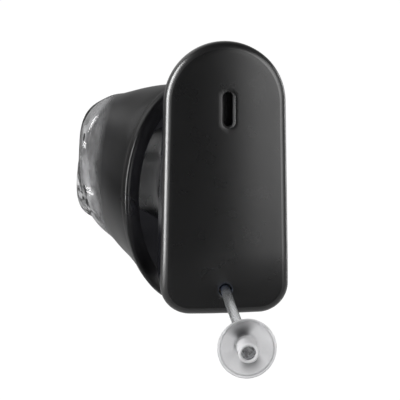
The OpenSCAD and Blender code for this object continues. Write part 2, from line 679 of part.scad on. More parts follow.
// Tube of one diameter along a smooth curve through a list of points
function unit(v) = v / norm(v);
module swept_wire(route, d) {
    path = smooth_rows(route, 4);
    last = len(path) - 1;
    sides = 8;
    points = [for (i = [0:last])
        let (t = unit(path[min(i + 1, last)] - path[max(i - 1, 0)]), a = unit(cross(t, [0, 0, 1])),
            b = cross(t, a))
        for (k = [0:sides - 1])
            path[i] + d / 2 * (a * cos(360 * k / sides) + b * sin(360 * k / sides))];
    polyhedron(points = points, faces = concat(
        [[for (k = [0:sides - 1]) k]],
        [for (i = [0:last - 1], k = [0:sides - 1])
            let (n = (k + 1) % sides)
            [i * sides + k, (i + 1) * sides + k, (i + 1) * sides + n, i * sides + n]],
        [[for (k = [sides - 1:-1:0]) last * sides + k]]));
}

function canal_point(x, y, z) = let (cy = cos(canal_yaw), sy = sin(canal_yaw),
        up = [-sy * sin(canal_dip), cy * sin(canal_dip), cos(canal_dip)])
    x * [-cy, -sy, 0] + y * up + z * canal_dir();
function plate_point(x, y, depth) = [plate_side + x, depth - plate_front, plate_up + y];

module receiver_leads() color([0.75, 0.3, 0.2]) {
    back = receiver_end - receiver_l;
    pad_x = board_side - board_t / 2 - lead_d;
    pad_y = board_mid + board_l / 2 - lead_gap / 2 - lead_d;
    for (s = [-1, 1]) {
        y = s * lead_gap / 2;
        pad = plate_point(pad_x, pad_y + y, board_depth + board_d / 2 - lead_gap);
        swept_wire([canal_point(0, y, back - gap), canal_point(0, y, back - lead_gap / 2),
            canal_point(0, y, back - bumper_t - lead_gap / 2),
            pad + [-lead_gap / 2, lead_gap, 0], pad], lead_d);
    }
}

faceplate();
plate_seal();
housing_shell();
mic_screen();
mic_boot();
microphone();
charging_coil();
ferrite_sheet();
chassis();
battery_cell();
battery_tabs();
circuit_board();
signal_chip();
power_chip();
board_capacitors();
receiver_can();
receiver_spout();
receiver_boot();
receiver_bumper();
receiver_leads();
wax_guard();
wax_guard_mesh();
wax_guard_seal();
click_sleeve();
sleeve_click_ring();
line_ferrule();
pull_line_root();
pull_line_neck();
pull_line();
pull_knob();
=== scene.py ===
import math

import bpy
import bmesh
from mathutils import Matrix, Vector
from mathutils.geometry import delaunay_2d_cdt


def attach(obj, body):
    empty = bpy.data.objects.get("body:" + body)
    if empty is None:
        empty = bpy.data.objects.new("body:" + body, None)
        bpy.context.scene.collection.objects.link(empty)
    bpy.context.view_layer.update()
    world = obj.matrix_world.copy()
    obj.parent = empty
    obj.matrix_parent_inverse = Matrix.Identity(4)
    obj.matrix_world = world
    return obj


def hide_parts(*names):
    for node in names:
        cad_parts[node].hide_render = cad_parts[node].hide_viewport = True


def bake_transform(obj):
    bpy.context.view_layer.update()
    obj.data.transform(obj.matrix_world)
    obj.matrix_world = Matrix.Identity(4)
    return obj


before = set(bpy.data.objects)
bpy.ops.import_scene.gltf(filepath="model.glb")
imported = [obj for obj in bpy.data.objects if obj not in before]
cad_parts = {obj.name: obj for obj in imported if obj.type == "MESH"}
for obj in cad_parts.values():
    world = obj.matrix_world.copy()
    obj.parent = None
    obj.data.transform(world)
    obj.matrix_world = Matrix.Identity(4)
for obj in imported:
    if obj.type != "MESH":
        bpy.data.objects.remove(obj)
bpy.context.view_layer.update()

# Camera: a long lens a little to the left of the faceplate and a little above it.
# It looks at the middle of the faceplate, which lies off the picture's middle, so the lens is
# shifted instead of turned.
MM = 0.001
PICTURE = 400
LENS_PX = 1539
SENSOR_MM = 36
VIEW_TURN = math.radians(6.5)
VIEW_RISE = math.radians(9)
VIEW_DISTANCE = 80 * MM
AIM = Vector((0.95, -5.8, 0.15)) * MM
AIM_PX = (225.8, 180.8)

camera_data = bpy.data.cameras.new("camera")
camera_data.sensor_width = SENSOR_MM
camera_data.lens = LENS_PX / PICTURE * SENSOR_MM
camera_data.shift_x = -(AIM_PX[0] - PICTURE / 2) / PICTURE
camera_data.shift_y = (AIM_PX[1] - PICTURE / 2) / PICTURE
camera_data.clip_start = 2 * MM
camera_data.clip_end = 10
camera = bpy.data.objects.new("camera", camera_data)
bpy.context.scene.collection.objects.link(camera)
camera.location = AIM + VIEW_DISTANCE * Vector((
    -math.sin(VIEW_TURN) * math.cos(VIEW_RISE),
    -math.cos(VIEW_TURN) * math.cos(VIEW_RISE),
    math.sin(VIEW_RISE)))
camera.rotation_euler = (AIM - camera.location).to_track_quat("-Z", "Y").to_euler()
bpy.context.scene.camera = camera
bpy.context.scene.view_settings.view_transform = "Standard"

# Studio: a pale floor far below the object and a white world behind it.
# Both read as white to the camera, and the floor still takes the object's shadow. What lies in
# front of the object is dim, so that the black faceplate has something dark to mirror.
FLOOR_DROP = 26 * MM
FLOOR_SIZE = 3
FLOOR_DIM_AT, FLOOR_PALE_AT = -0.02, 0.005
FLOOR_DIM, FLOOR_PALE = (0.22, 0.22, 0.22), (0.8, 0.8, 0.8)
FLOOR_GLOW = 1.11
FLOOR_GLOW_SHARE = 0.9
WORLD_FRONT_AT, WORLD_BACK_AT = -0.25, 0.35
WORLD_FRONT, WORLD_BACK = 0.04, 0.4
WINGS_FROM, WINGS_FULL = 0.82, 0.95
WINGS = 0.5


def new_material(name, **constants):
    """A node material, its node tree and its surface shader with some constants set."""
    material = bpy.data.materials.new(name)
    material.use_nodes = True
    shader = material.node_tree.nodes["Principled BSDF"]
    for key, value in constants.items():
        shader.inputs[key.replace("_", " ")].default_value = value
    return material, material.node_tree, shader


def add_node(tree, kind, **settings):
    """A node with its settings, where a name with a leading capital is a socket."""
    node = tree.nodes.new(kind)
    for key, value in settings.items():
        if key[0].isupper():
            node.inputs[key.replace("_", " ")].default_value = value
        else:
            setattr(node, key, value)
    return node


def mapped(tree, value, low, high, start=0.0, stop=1.0, kind="LINEAR"):
    """A value carried over from the range of start to stop into the range of low to high."""
    node = add_node(tree, "ShaderNodeMapRange", interpolation_type=kind)
    limits = {"From Min": start, "From Max": stop, "To Min": low, "To Max": high}
    for socket, number in limits.items():
        node.inputs[socket].default_value = number
    tree.links.new(value, node.inputs["Value"])
    return node.outputs["Result"]


def maths(tree, operation, *values):
    """The result of a sum over values, each of which is a node's output or a number."""
    node = add_node(tree, "ShaderNodeMath", operation=operation)
    for socket, value in zip(node.inputs, values):
        if isinstance(value, (int, float)):
            socket.default_value = value
        else:
            tree.links.new(value, socket)
    return node.outputs[0]


def toned(tree, shader, factor, first, second):
    """Gives a shader a base colour between two tones."""
    tone = add_node(tree, "ShaderNodeMix", data_type="RGBA")
    tone.inputs["A"].default_value = (*first, 1)
    tone.inputs["B"].default_value = (*second, 1)
    tree.links.new(factor, tone.inputs["Factor"])
    tree.links.new(tone.outputs["Result"], shader.inputs["Base Color"])


def white_to_camera(tree, plain, glow, share, output):
    """Shows a glow to the camera, also through clear plastic, and the plain shader to the rest."""
    rays = add_node(tree, "ShaderNodeLightPath")
    straight = maths(tree, "MAXIMUM", rays.outputs["Is Camera Ray"],
                     rays.outputs["Is Transmission Ray"])
    if share < 1:
        straight = maths(tree, "MULTIPLY", straight, share)
    mix = add_node(tree, "ShaderNodeMixShader")
    tree.links.new(straight, mix.inputs[0])
    tree.links.new(plain.outputs[0], mix.inputs[1])
    tree.links.new(glow.outputs[0], mix.inputs[2])
    tree.links.new(mix.outputs[0], tree.nodes[output].inputs["Surface"])


floor_mesh = bpy.data.meshes.new("floor")
floor_mesh.from_pydata(
    [(x * FLOOR_SIZE, y * FLOOR_SIZE, -FLOOR_DROP)
     for x, y in ((-1, -1), (1, -1), (1, 1), (-1, 1))], [], [(0, 1, 2, 3)])
floor = bpy.data.objects.new("floor", floor_mesh)
bpy.context.scene.collection.objects.link(floor)
floor_paper, tree, shader = new_material("floor_paper", Roughness=0.9)
place = add_node(tree, "ShaderNodeTexCoord")
parts = add_node(tree, "ShaderNodeSeparateXYZ")
tree.links.new(place.outputs["Object"], parts.inputs[0])
paleness = mapped(tree, parts.outputs["Y"], 0, 1, FLOOR_DIM_AT, FLOOR_PALE_AT)
toned(tree, shader, paleness, FLOOR_DIM, FLOOR_PALE)
glow = add_node(tree, "ShaderNodeEmission", Strength=FLOOR_GLOW)
white_to_camera(tree, shader, glow, FLOOR_GLOW_SHARE, "Material Output")
floor_mesh.materials.append(floor_paper)

world = bpy.data.worlds.new("studio")
bpy.context.scene.world = world
world.use_nodes = True
tree = world.node_tree
fill = tree.nodes["Background"]
fill.inputs["Color"].default_value = (1, 1, 1, 1)
place = add_node(tree, "ShaderNodeTexCoord")
parts = add_node(tree, "ShaderNodeSeparateXYZ")
tree.links.new(place.outputs["Generated"], parts.inputs[0])
depth = mapped(tree, parts.outputs["Y"], WORLD_FRONT, WORLD_BACK, WORLD_FRONT_AT, WORLD_BACK_AT)
side = maths(tree, "ABSOLUTE", parts.outputs["X"])
wings = mapped(tree, side, 0, WINGS, WINGS_FROM, WINGS_FULL)
tree.links.new(maths(tree, "MAXIMUM", depth, wings), fill.inputs["Strength"])
white = add_node(tree, "ShaderNodeBackground", Strength=1.0)
white_to_camera(tree, fill, white, 1.0, "World Output")

# Lamps: soft boxes round the object, [name, place and target in mm, width and height in mm,
# radiance]. A tall box on the right shades the faceplate, a strip on the left draws its left edge,
# one on the right its right edge, and a box high up behind lights the top of the sleeve.
LAMPS = [
    ("right_box", (67, -90, 6), (1, -5, 0), (96, 134), 3.0),
    ("left_strip", (-86, -46, 14), (-3, -3, 0), (24, 120), 18.5),
    ("right_strip", (90, 22, 0), (4, -4, 0), (16, 90), 6),
    ("top_box", (-57, 28, 66), (-6, 0, 0), (62, 62), 0.85)]
for name, place, target, (wide, tall), radiance in LAMPS:
    lamp_data = bpy.data.lights.new(name, "AREA")
    lamp_data.shape = "RECTANGLE"
    lamp_data.size = wide * MM
    lamp_data.size_y = tall * MM
    lamp_data.energy = radiance * math.pi * wide * tall * MM * MM
    lamp = bpy.data.objects.new(name, lamp_data)
    bpy.context.scene.collection.objects.link(lamp)
    lamp.location = Vector(place) * MM
    lamp.rotation_euler = (Vector(target) * MM - lamp.location).to_track_quat("-Z", "Y").to_euler()
    lamp.visible_camera = False
    lamp.visible_transmission = False

# Faceplate: one moulding in matt black plastic with a very shallow crown.
# Its edge is rounded and polished, a bevelled slot lets sound in, and the line leaves by a small
# hole. A spigot on its back fits inside the shell.
PLATE_H = 14.4
PLATE_W = 6.8
PLATE_T = 1.0
PLATE_TOP_R = 3.17
PLATE_TOP_SIDE = 0.03
PLATE_CORNER_R = 1.54
PLATE_EDGE_IN = 0.56
PLATE_EDGE_R = 0.26
PLATE_EDGE_STEPS = 8
PLATE_CROWN = 0.32
PLATE_SIDE = 0.95
PLATE_FRONT = 5.8
PLATE_UP = 0.15
PLATE_GRID = 0.22
PLATE_BACK_EDGE = ((0, PLATE_T - 0.06), (0.02, PLATE_T - 0.02), (0.06, PLATE_T))
POLISHED_BANDS = range(2, 11)
SPIGOT_INSET = 0.77
SPIGOT_T = 0.3
SPIGOT_H = 0.6
SLOT_AT = (0.15, 3.69)
SLOT_L = 1.77
SLOT_W = 0.48
SLOT_BEVEL = 0.11
SLOT_WALL = ((SLOT_BEVEL, 0), (SLOT_BEVEL - 0.012, 0.004), (SLOT_BEVEL - 0.028, 0.022),
             (SLOT_BEVEL - 0.036, 0.05), (0.01, 0.38), (0.0, 0.42))
SLOT_SKINS = {0: 1, 1: 1, 2: 1, 3: 2, 4: 2}
LINE_DOWN = 5.85
LINE_D = 0.52
HOLE_D = 0.64
HOLE_BEVEL = 0.08
HOLE_WALL = ((HOLE_BEVEL, 0), (0.06, 0.01), (0.01, 0.06), (0, 0.1))
PLATE_BLACK = (0.003, 0.003, 0.0032)
PLATE_GREY = (0.006, 0.006, 0.0063)
SLOT_PAINTED_LIGHT = (0.075, 0.075, 0.076)


def on_plate(x, y, depth):
    """A point in the frame from one on the faceplate, with depth in front of its outer face."""
    return Vector((PLATE_SIDE + x, -PLATE_FRONT - depth, PLATE_UP + y)) * MM


def plate_outline(margin, arc=48, corner=20, side=44):
    """Points round the faceplate, drawn in by a margin: a round top and two small lower corners."""
    circles = [
        (PLATE_TOP_SIDE, PLATE_H / 2 - PLATE_TOP_R, PLATE_TOP_R - margin),
        (-(PLATE_W / 2 - PLATE_CORNER_R), -(PLATE_H / 2 - PLATE_CORNER_R), PLATE_CORNER_R - margin),
        (PLATE_W / 2 - PLATE_CORNER_R, -(PLATE_H / 2 - PLATE_CORNER_R), PLATE_CORNER_R - margin)]

    def side_angle(a, b):
        gap = math.hypot(b[0] - a[0], b[1] - a[1])
        return math.atan2(b[1] - a[1], b[0] - a[0]) - math.acos((a[2] - b[2]) / gap)

    def at(c, angle):
        return c[0] + c[2] * math.cos(angle), c[1] + c[2] * math.sin(angle)

    points = []
    for i, c in enumerate(circles):
        after_circle = circles[(i + 1) % 3]
        before = side_angle(circles[i - 1], c)
        after = side_angle(c, after_circle)
        turn = (after - before) % (2 * math.pi)
        steps = arc if i == 0 else corner
        points += [at(c, before + turn * k / steps) for k in range(steps)]
        a, b = at(c, after), at(after_circle, after)
        steps = corner if i == 1 else side
        points += [(a[0] + (b[0] - a[0]) * k / steps, a[1] + (b[1] - a[1]) * k / steps)
                   for k in range(steps)]
    return points


def crown(x, y):
    """How far the face falls back at a point, as a barrel that also rounds off at both ends."""
    top, low = PLATE_H / 2 - PLATE_TOP_R, -PLATE_H / 2 + PLATE_W / 2
    beyond = max(y - top, low - y, 0)
    return PLATE_CROWN * (x * x + beyond * beyond) / (PLATE_W / 2) ** 2


def crowned(outline, depth):
    """Points at a depth below the crowned face."""
    return [on_plate(x, y, -crown(x, y) - depth) for x, y in outline]


def flat(outline, depth):
    """Points at a depth below the plane of the face's highest point."""
    return [on_plate(x, y, -depth) for x, y in outline]


def slot_outline(margin, steps=14):
    """Points round the slot, let out by a margin."""
    r = SLOT_W / 2 + margin
    half = (SLOT_L - SLOT_W) / 2
    points = [(r * math.cos(a), half + r * math.sin(a))
              for a in (math.pi * k / steps for k in range(steps + 1))]
    points += [(-x, -y) for x, y in points]
    return [(SLOT_AT[0] + x, SLOT_AT[1] + y) for x, y in points]


def hole_outline(margin, steps=32):
    """Points round the line's hole, let out by a margin."""
    r = HOLE_D / 2 + margin
    return [(r * math.cos(a), -LINE_DOWN + r * math.sin(a))
            for a in (2 * math.pi * k / steps for k in range(steps))]


def filled(bm, place, loops, step=0):
    """Triangles over the area inside the first loop and outside the rest, on a grid with a step."""
    points = [Vector(p) for loop in loops for p in loop]
    edges, start = [], 0
    for loop in loops:
        n = len(loop)
        edges += [(start + k, start + (k + 1) % n) for k in range(n)]
        start += n
    xs, ys = [p[0] for p in loops[0]], [p[1] for p in loops[0]]

    def inside(loop, x, y):
        hit = False
        for (ax, ay), (bx, by) in zip(loop, loop[1:] + loop[:1]):
            if (ay > y) != (by > y) and x < (bx - ax) * (y - ay) / (by - ay) + ax:
                hit = not hit
        return hit

    def in_area(x, y):
        return inside(loops[0], x, y) and not any(inside(loop, x, y) for loop in loops[1:])

    def near(loop, x, y):
        return any((x - a) ** 2 + (y - b) ** 2 < (0.6 * step) ** 2 for a, b in loop)

    if step:
        for i in range(1, int((max(xs) - min(xs)) / step) + 1):
            for j in range(1, int((max(ys) - min(ys)) / step) + 1):
                x, y = min(xs) + i * step, min(ys) + j * step
                if in_area(x, y) and not any(near(loop, x, y) for loop in loops):
                    points.append(Vector((x, y)))
    flat_verts, _, faces, _, _, _ = delaunay_2d_cdt(points, edges, [], 0, 1e-6)
    verts = [bm.verts.new(p) for p in place([(v.x, v.y) for v in flat_verts])]
    for f in faces:
        x = sum(flat_verts[i].x for i in f) / len(f)
        y = sum(flat_verts[i].y for i in f) / len(f)
        if in_area(x, y):
            bm.faces.new([verts[i] for i in f])


def bridge(bm, rings, loop=False, skins=None):
    """Quads between rings of equal count. Skins gives bands a material, and loop closes them."""
    made = [[bm.verts.new(p) for p in ring] for ring in rings]
    pairs = zip(made, made[1:] + made[:1] if loop else made[1:])
    for i, (one, two) in enumerate(pairs):
        n = len(one)
        for k in range(n):
            face = bm.faces.new((one[k], one[(k + 1) % n], two[(k + 1) % n], two[k]))
            face.material_index = (skins or {}).get(i, 0)
    return made


def mesh_piece(name, bm, body, slot, sharp, *materials):
    """A mesh piece that rides on a body, smooth apart from edges sharper than an angle."""
    bmesh.ops.remove_doubles(bm, verts=bm.verts, dist=1e-7)
    bmesh.ops.recalc_face_normals(bm, faces=bm.faces)
    limit = math.radians(sharp)
    for face in bm.faces:
        face.smooth = True
    for edge in bm.edges:
        edge.smooth = not (edge.is_manifold and edge.calc_face_angle() > limit)
    mesh = bpy.data.meshes.new(name)
    bm.to_mesh(mesh)
    bm.free()
    for material in materials:
        mesh.materials.append(material)
    piece = bpy.data.objects.new(name, mesh)
    bpy.context.scene.collection.objects.link(piece)
    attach(piece, body)
    return piece


def noise(tree, scale, detail=3.0, **more):
    """A noise over the piece, and the object coordinates that it lies in."""
    place = add_node(tree, "ShaderNodeTexCoord").outputs["Object"]
    node = add_node(tree, "ShaderNodeTexNoise", Scale=scale, Detail=detail, **more)
    tree.links.new(place, node.inputs["Vector"])
    return node.outputs["Fac"], place


def rough(tree, shader, value, low, high):
    """Spreads a shader's roughness over a range."""
    tree.links.new(mapped(tree, value, low, high), shader.inputs["Roughness"])


def bumped(tree, shader, height, strength, distance, below=None):
    """Gives a shader a bump, on top of one below it if there is one."""
    bump = add_node(tree, "ShaderNodeBump", Strength=strength, Distance=distance)
    tree.links.new(height, bump.inputs["Height"])
    if below is not None:
        tree.links.new(below, bump.inputs["Normal"])
    tree.links.new(bump.outputs["Normal"], shader.inputs["Normal"])
    return bump.outputs["Normal"]


bm = bmesh.new()
face_loops = [plate_outline(PLATE_EDGE_IN), slot_outline(SLOT_BEVEL), hole_outline(HOLE_BEVEL)]
filled(bm, lambda points: crowned(points, 0), face_loops, PLATE_GRID)
rings = []
for k in range(PLATE_EDGE_STEPS + 1):
    a = math.radians(90 - 90 * k / PLATE_EDGE_STEPS)
    rings.append(crowned(plate_outline(PLATE_EDGE_IN * (1 - math.cos(a))),
                         PLATE_EDGE_R * (1 - math.sin(a))))
rings += [flat(plate_outline(margin), depth) for margin, depth in PLATE_BACK_EDGE]
spigot_in = SPIGOT_INSET + SPIGOT_T
spigot_end = PLATE_T + SPIGOT_H
rings += [flat(plate_outline(margin), depth)
          for margin, depth in ((SPIGOT_INSET, PLATE_T), (SPIGOT_INSET, spigot_end),
                                (spigot_in, spigot_end), (spigot_in, PLATE_T))]
bridge(bm, rings, skins=dict.fromkeys(POLISHED_BANDS, 1))
rings = [crowned(slot_outline(margin), depth) for margin, depth in SLOT_WALL]
bridge(bm, rings + [flat(slot_outline(0), PLATE_T)], skins=SLOT_SKINS)
rings = [crowned(hole_outline(margin), depth) for margin, depth in HOLE_WALL]
bridge(bm, rings + [flat(hole_outline(0), PLATE_T)], skins=dict.fromkeys(range(3), 1))
filled(bm, lambda points: flat(points, PLATE_T),
       [plate_outline(spigot_in), slot_outline(0), hole_outline(0)])

plate_black, tree, shader = new_material("matt_black_moulding")
grain, _ = noise(tree, 26000.0, Roughness=0.6)
cloud, _ = noise(tree, 900.0, 2.0)
toned(tree, shader, grain, PLATE_BLACK, PLATE_GREY)
rough(tree, shader, cloud, 0.25, 0.31)
bumped(tree, shader, grain, 0.35, 0.000006)
plate_edge, tree, shader = new_material(
    "polished_black_edge", Base_Color=(*PLATE_BLACK, 1), Specular_IOR_Level=0.8, Coat_Weight=0.5,
    Coat_Roughness=0.28)
wear, _ = noise(tree, 2500.0)
rough(tree, shader, wear, 0.28, 0.32)
# Painted light: the slot's inner wall is a lighter grey than the moulding, for the light it
# catches.
slot_wall_painted, tree, shader = new_material("slot_wall_painted_light", Base_Color=(*SLOT_PAINTED_LIGHT, 1), Roughness=0.4)
scored, _ = noise(tree, 16000.0)
bumped(tree, shader, scored, 0.12, 0.000006)
plate_piece = mesh_piece("faceplate_moulding", bm, "aid", "faceplate", 50,
                         plate_black, plate_edge, slot_wall_painted)
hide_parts("faceplate")

# Housing shell: one glossy near-black shell, moulded in hard plastic.
# It narrows from the faceplate into a round neck, and ends in the snout that holds the sleeve. The
# snout has a groove for the sleeve's click ring and a seat for the wax guard.
SHELL_WALL = 0.45
SHELL_OVERHANG = 0.08
SHELL_STEPS = (36, 12, 18)
SHELL_LEAN = math.radians(11)
SHELL_RINGS = [
    (0, 0, 0, 1, 1, 0), (0.08, 0.02, 0.02, 0.995, 0.995, 0), (0.17, 0.15, 0.25, 0.965, 0.985, 0.05),
    (0.27, 0.42, 0.6, 0.88, 0.95, 0.2), (0.37, 0.72, 0.9, 0.7, 0.87, 0.5),
    (0.46, 0.92, 1, 0.5, 0.74, 0.85), (0.56, 1, 0.75, 0.33, 0.55, 1), (0.68, 1, 0.35, 0.2, 0.35, 1),
    (0.8, 1, 0.1, 0.1, 0.18, 1), (0.9, 1, 0, 0.03, 0.06, 1), (1, 1, 0, 0, 0, 1)]
CANAL_YAW = math.radians(43)
CANAL_DIP = math.radians(8)
SNOUT_FROM = 5.9
SNOUT_L = 1.9
SNOUT_W = 2.6
SNOUT_H = 3.4
SNOUT_R = 0.8
SNOUT_WALL = 0.3
SNOUT_END_T = 0.75
SHOULDER_STEP = 0.25
GROOVE_FROM = SNOUT_FROM + 0.42
GROOVE_TO = GROOVE_FROM + 0.3
GROOVE_DEPTH = 0.12
GUARD_SEAT_R = 0.75
GUARD_SEAT_T = 0.23
GUARD_HOLE_R = 0.56
SHELL_BLACK = (0.008, 0.008, 0.01)
canal = Vector((-math.sin(CANAL_YAW) * math.cos(CANAL_DIP),
                math.cos(CANAL_YAW) * math.cos(CANAL_DIP), -math.sin(CANAL_DIP)))
canal_left = Vector((-math.cos(CANAL_YAW), -math.sin(CANAL_YAW), 0))
canal_up = Vector((-math.sin(CANAL_YAW) * math.sin(CANAL_DIP),
                   math.cos(CANAL_YAW) * math.sin(CANAL_DIP), math.cos(CANAL_DIP)))


def on_canal(x, y, z):
    """A point in the frame from one beside the canal axis, z into the ear and x to the left."""
    return (x * canal_left + y * canal_up + z * canal) * MM


def smooth_rows(rows, steps):
    """A smooth curve through rows of numbers, taken in steps between the rows."""
    out = []
    last = len(rows) - 1
    for i in range(last):
        a, b, c, d = (rows[min(max(i + k, 0), last)] for k in (-1, 0, 1, 2))
        for k in range(steps):
            u = k / steps
            out.append(tuple(
                0.5 * (2 * q + (r - p) * u + (2 * p - 5 * q + 4 * r - s) * u * u
                       + (3 * q - p - 3 * r + s) * u ** 3)
                for p, q, r, s in zip(a, b, c, d)))
    return out + [tuple(rows[last])]


def shell_centre(u):
    """A point of the shell's middle line, from the faceplate to the snout."""
    p0 = Vector((PLATE_SIDE, PLATE_T - PLATE_FRONT, PLATE_UP))
    p3 = canal * SNOUT_FROM
    p1 = p0 + Vector((0, 3, 0))
    p2 = p3 - canal * 5.5 - Vector((0, 0, 0.6))
    return (1 - u) ** 3 * p0 + 3 * u * (1 - u) ** 2 * p1 + 3 * u * u * (1 - u) * p2 + u ** 3 * p3


def shell_ring(row, margin):
    """One ring of the shell. A row is its place, turn, lean, height, width and roundness."""
    place, turned, leaned, tall, wide, round_share = row
    centre = shell_centre(place)
    yaw = CANAL_YAW * turned
    pitch = SHELL_LEAN * leaned - CANAL_DIP * (1 - wide) * turned
    shoulder_w, shoulder_h = SNOUT_W + 2 * SHOULDER_STEP, SNOUT_H + 2 * SHOULDER_STEP
    w = shoulder_w + (PLATE_W - shoulder_w) * wide
    h = shoulder_h + (PLATE_H - shoulder_h) * tall
    across = Vector((math.cos(yaw), math.sin(yaw), 0))
    up = Vector((math.sin(yaw) * math.sin(pitch), -math.cos(yaw) * math.sin(pitch),
                 math.cos(pitch)))
    ring = []
    for angle, (ix, iy) in zip(SHELL_ANGLES, plate_outline(SHELL_OVERHANG + margin, *SHELL_STEPS)):
        ox, oy = (w / 2 - margin) * math.cos(angle), (h / 2 - margin) * math.sin(angle)
        fx, fy = ix * w / PLATE_W, iy * h / PLATE_H
        x, y = fx + (ox - fx) * round_share, fy + (oy - fy) * round_share
        ring.append((centre + x * across + y * up) * MM)
    return ring


def snout_ring(margin, z):
    """A ring round the snout, let out by a margin, in step with the rings of the shell."""
    w, h, r = SNOUT_W + 2 * margin, SNOUT_H + 2 * margin, SNOUT_R + margin
    ring = []
    for angle in SHELL_ANGLES:
        dx, dy = w * math.cos(angle), h * math.sin(angle)
        low, high = 0.0, 4.0
        for _ in range(30):
            mid = (low + high) / 2
            qx, qy = max(abs(dx * mid) - (w / 2 - r), 0), max(abs(dy * mid) - (h / 2 - r), 0)
            low, high = (mid, high) if math.hypot(qx, qy) < r else (low, mid)
        ring.append(on_canal(-dx * low, dy * low, z))
    return ring


def shell_round(r, z):
    """A round ring on the canal axis, in step with the rings of the shell."""
    return [on_canal(-r * math.cos(a), r * math.sin(a), z) for a in SHELL_ANGLES]


SHELL_ANGLES = [math.atan2(y / PLATE_H, x / PLATE_W)
                for x, y in plate_outline(SHELL_OVERHANG, *SHELL_STEPS)]
SNOUT_END = SNOUT_FROM + SNOUT_L
SNOUT_OUTSIDE = [
    (0.2, SNOUT_FROM), (0.03, SNOUT_FROM + 0.01), (0.0, SNOUT_FROM + 0.03),
    (0, GROOVE_FROM - 0.015), (-0.02, GROOVE_FROM), (-GROOVE_DEPTH, GROOVE_FROM + 0.01),
    (-GROOVE_DEPTH, GROOVE_TO - 0.01), (-0.02, GROOVE_TO), (0, GROOVE_TO + 0.015),
    (0, SNOUT_END - 0.34), (-0.02, SNOUT_END - 0.2), (-0.07, SNOUT_END - 0.1),
    (-0.16, SNOUT_END - 0.03), (-0.3, SNOUT_END)]
SNOUT_BORE = [
    (GUARD_SEAT_R + 0.03, SNOUT_END), (GUARD_SEAT_R, SNOUT_END - 0.02),
    (GUARD_SEAT_R, SNOUT_END - GUARD_SEAT_T), (GUARD_HOLE_R, SNOUT_END - GUARD_SEAT_T),
    (GUARD_HOLE_R, SNOUT_END - SNOUT_END_T)]
bm = bmesh.new()
outside = [shell_ring(row, 0) for row in smooth_rows(SHELL_RINGS, 5)]
outside += [snout_ring(margin, z) for margin, z in SNOUT_OUTSIDE]
outside += [shell_round(r, z) for r, z in SNOUT_BORE]
outside += [snout_ring(-SNOUT_WALL, z) for z in (SNOUT_END - SNOUT_END_T, SNOUT_FROM)]
inside = [shell_ring(row, SHELL_WALL) for row in smooth_rows(SHELL_RINGS, 3)]
bridge(bm, outside + inside[::-1], loop=True)

shell_gloss, tree, shader = new_material(
    "glossy_black_shell", Base_Color=(*SHELL_BLACK, 1), Specular_IOR_Level=0.32, Coat_Weight=0.25,
    Coat_Roughness=0.12)
ripple, _ = noise(tree, 700.0, 2.0)
rough(tree, shader, ripple, 0.2, 0.32)
bumped(tree, shader, ripple, 0.1, 0.00002)
shell_piece = mesh_piece("housing_casting", bm, "aid", "housing_shell", 40, shell_gloss)
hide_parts("housing_shell")

# Sleeve: one soft moulding in smoke-tinted clear silicone, pushed over the snout.
# It flares from a solid nose to a thin skirt, and ends in a thick rolled rim. The skirt is satin
# outside and matt inside, and the outer side of the nose has shallow dents. The smoke is painted
# clear towards the outer, left side of the nose: painted light for lamp light shining through it.
SLEEVE_L = 8.45
SLEEVE_H = 12.8
RIM_T = 0.95
RIM_R = 0.22
SKIRT_T = 0.6
NOSE_R = 0.95
SLEEVE_FIT = 0.03
SLEEVE_SIDES = 120
SLEEVE_STEPS = 8
SLEEVE_ROWS = [
    (0, 0.369, 0.175, -0.586, 0.85, 2), (0.107, 0.377, 0.272, -0.527, 0.85, 2),
    (0.272, 0.375, 0.414, -0.441, 0.84, 2), (0.535, 0.356, 0.574, -0.338, 0.792, 2.45),
    (0.674, 0.35, 0.754, -0.277, 0.784, 2.17), (0.831, 0.303, 0.833, -0.207, 0.651, 2.58),
    (0.869, 0.184, 0.981, -0.199, 0.711, 2.15), (0.932, 0.148, 1.035, -0.153, 0.666, 2.65),
    (0.992, 0.109, 0.98, -0.103, 0.801, 2.15)]
RIM_ROWS = 4
WAIST_INSET = 0.14
WAIST_ROWS = 14
SLEEVE_INSIDE_SHARE = 0.56
SEAT_GAP = 0.05
RING_SEAT_T = 0.22
SEAT_FROM = SNOUT_FROM + 0.1
# The smoke's fade to a clear tone along this way is painted light from the left lamp through the
# nose.
SMOKE_WAY = (-0.93, 0.36, 0)
SMOKE_FROM, SMOKE_TO = 4.7 * MM, 6.7 * MM
SMOKE_DARK, SMOKE_PAINTED_CLEAR = (0.014, 0.014, 0.016), (0.74, 0.74, 0.75)
SMOKE_TINT = (0.06, 0.07, 0.1)


def sleeve_ring(row, margin, along=0):
    """One ring of the sleeve, drawn in by a margin and moved along. A row is the place and height
    of its crown and of its sole, its width and how square it is."""
    crown_at = Vector((row[0] * SLEEVE_L, row[1] * SLEEVE_H))
    sole_at = Vector((row[2] * SLEEVE_L, row[3] * SLEEVE_H))
    centre, reach = (crown_at + sole_at) / 2, crown_at - sole_at
    up, half = reach.normalized(), reach.length / 2
    power = 2 / row[5]
    ring = []
    for k in range(SLEEVE_SIDES):
        a = -2 * math.pi * k / SLEEVE_SIDES
        c, s = math.cos(a), math.sin(a)
        x = (half * row[4] - margin) * math.copysign(abs(c) ** power, c)
        y = (half - margin) * math.copysign(abs(s) ** power, s)
        ring.append(on_canal(x, centre.y + y * up.y - along * up.x,
                             centre.x + y * up.x + along * up.y))
    return ring


def sleeve_round(r, z):
    """A round ring on the canal axis, in step with the sleeve's own rings."""
    angles = (-2 * math.pi * k / SLEEVE_SIDES for k in range(SLEEVE_SIDES))
    return [on_canal(r * math.cos(a), r * math.sin(a), z) for a in angles]


